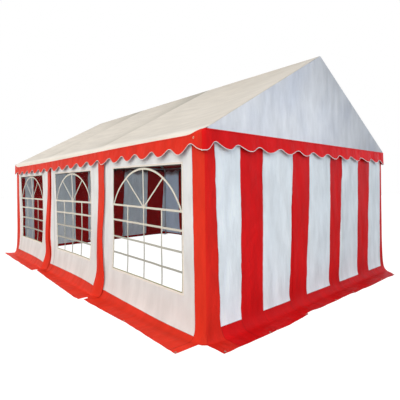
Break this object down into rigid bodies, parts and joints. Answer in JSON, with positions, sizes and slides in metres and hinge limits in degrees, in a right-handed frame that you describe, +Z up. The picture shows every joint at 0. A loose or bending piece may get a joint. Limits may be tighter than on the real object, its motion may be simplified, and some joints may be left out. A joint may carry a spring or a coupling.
{
  "type": "marquee tent",
  "caption": "Ridge-roofed party marquee with scalloped valance, striped gable walls, clear windows on one side and ground flaps, on a frame of steel tube.",
  "frame": {"origin": "on the ground, at the middle of the tent", "axes": "+Z up, +Y along the ridge from the front gable to the back one, -X towards the side with windows"},
  "size_m": [4.6, 6.48, 3.024],
  "materials": {
    "galvanised_steel": "dull zinc coat",
    "white_fabric": "coated fabric, satin",
    "red_fabric": "coated fabric, satin",
    "striped_fabric": "coated fabric, sewn of red and white stripes",
    "clear_film": "clear soft film with white bars"
  },
  "bodies": {
    "root": {"post_left_1": "galvanised_steel", "post_left_2": "galvanised_steel", "post_left_3": "galvanised_steel", "post_left_4": "galvanised_steel", "post_right_1": "galvanised_steel", "post_right_2": "galvanised_steel", "post_right_3": "galvanised_steel", "post_right_4": "galvanised_steel", "rafter_left_1": "galvanised_steel", "rafter_left_2": "galvanised_steel", "rafter_left_3": "galvanised_steel", "rafter_left_4": "galvanised_steel", "rafter_right_1": "galvanised_steel", "rafter_right_2": "galvanised_steel", "rafter_right_3": "galvanised_steel", "rafter_right_4": "galvanised_steel", "eave_rail_left": "galvanised_steel", "eave_rail_right": "galvanised_steel", "ridge_rail": "galvanised_steel", "front_tie_bar": "galvanised_steel", "back_tie_bar": "galvanised_steel", "roof_cover": "white_fabric", "front_gable": "white_fabric", "back_gable": "white_fabric", "valance_left": "red_fabric", "valance_right": "red_fabric", "valance_front": "red_fabric", "valance_back": "red_fabric", "left_wall_1": "white_fabric", "left_wall_2": "white_fabric", "left_wall_3": "white_fabric", "left_window_1": "clear_film", "left_window_2": "clear_film", "left_window_3": "clear_film", "right_wall_1": "striped_fabric", "right_wall_2": "striped_fabric", "right_wall_3": "striped_fabric", "front_wall_left": "striped_fabric", "front_door": "striped_fabric", "front_wall_right": "striped_fabric", "back_wall_left": "striped_fabric", "back_door": "striped_fabric", "back_wall_right": "striped_fabric"}
  },
  "joints": []
}
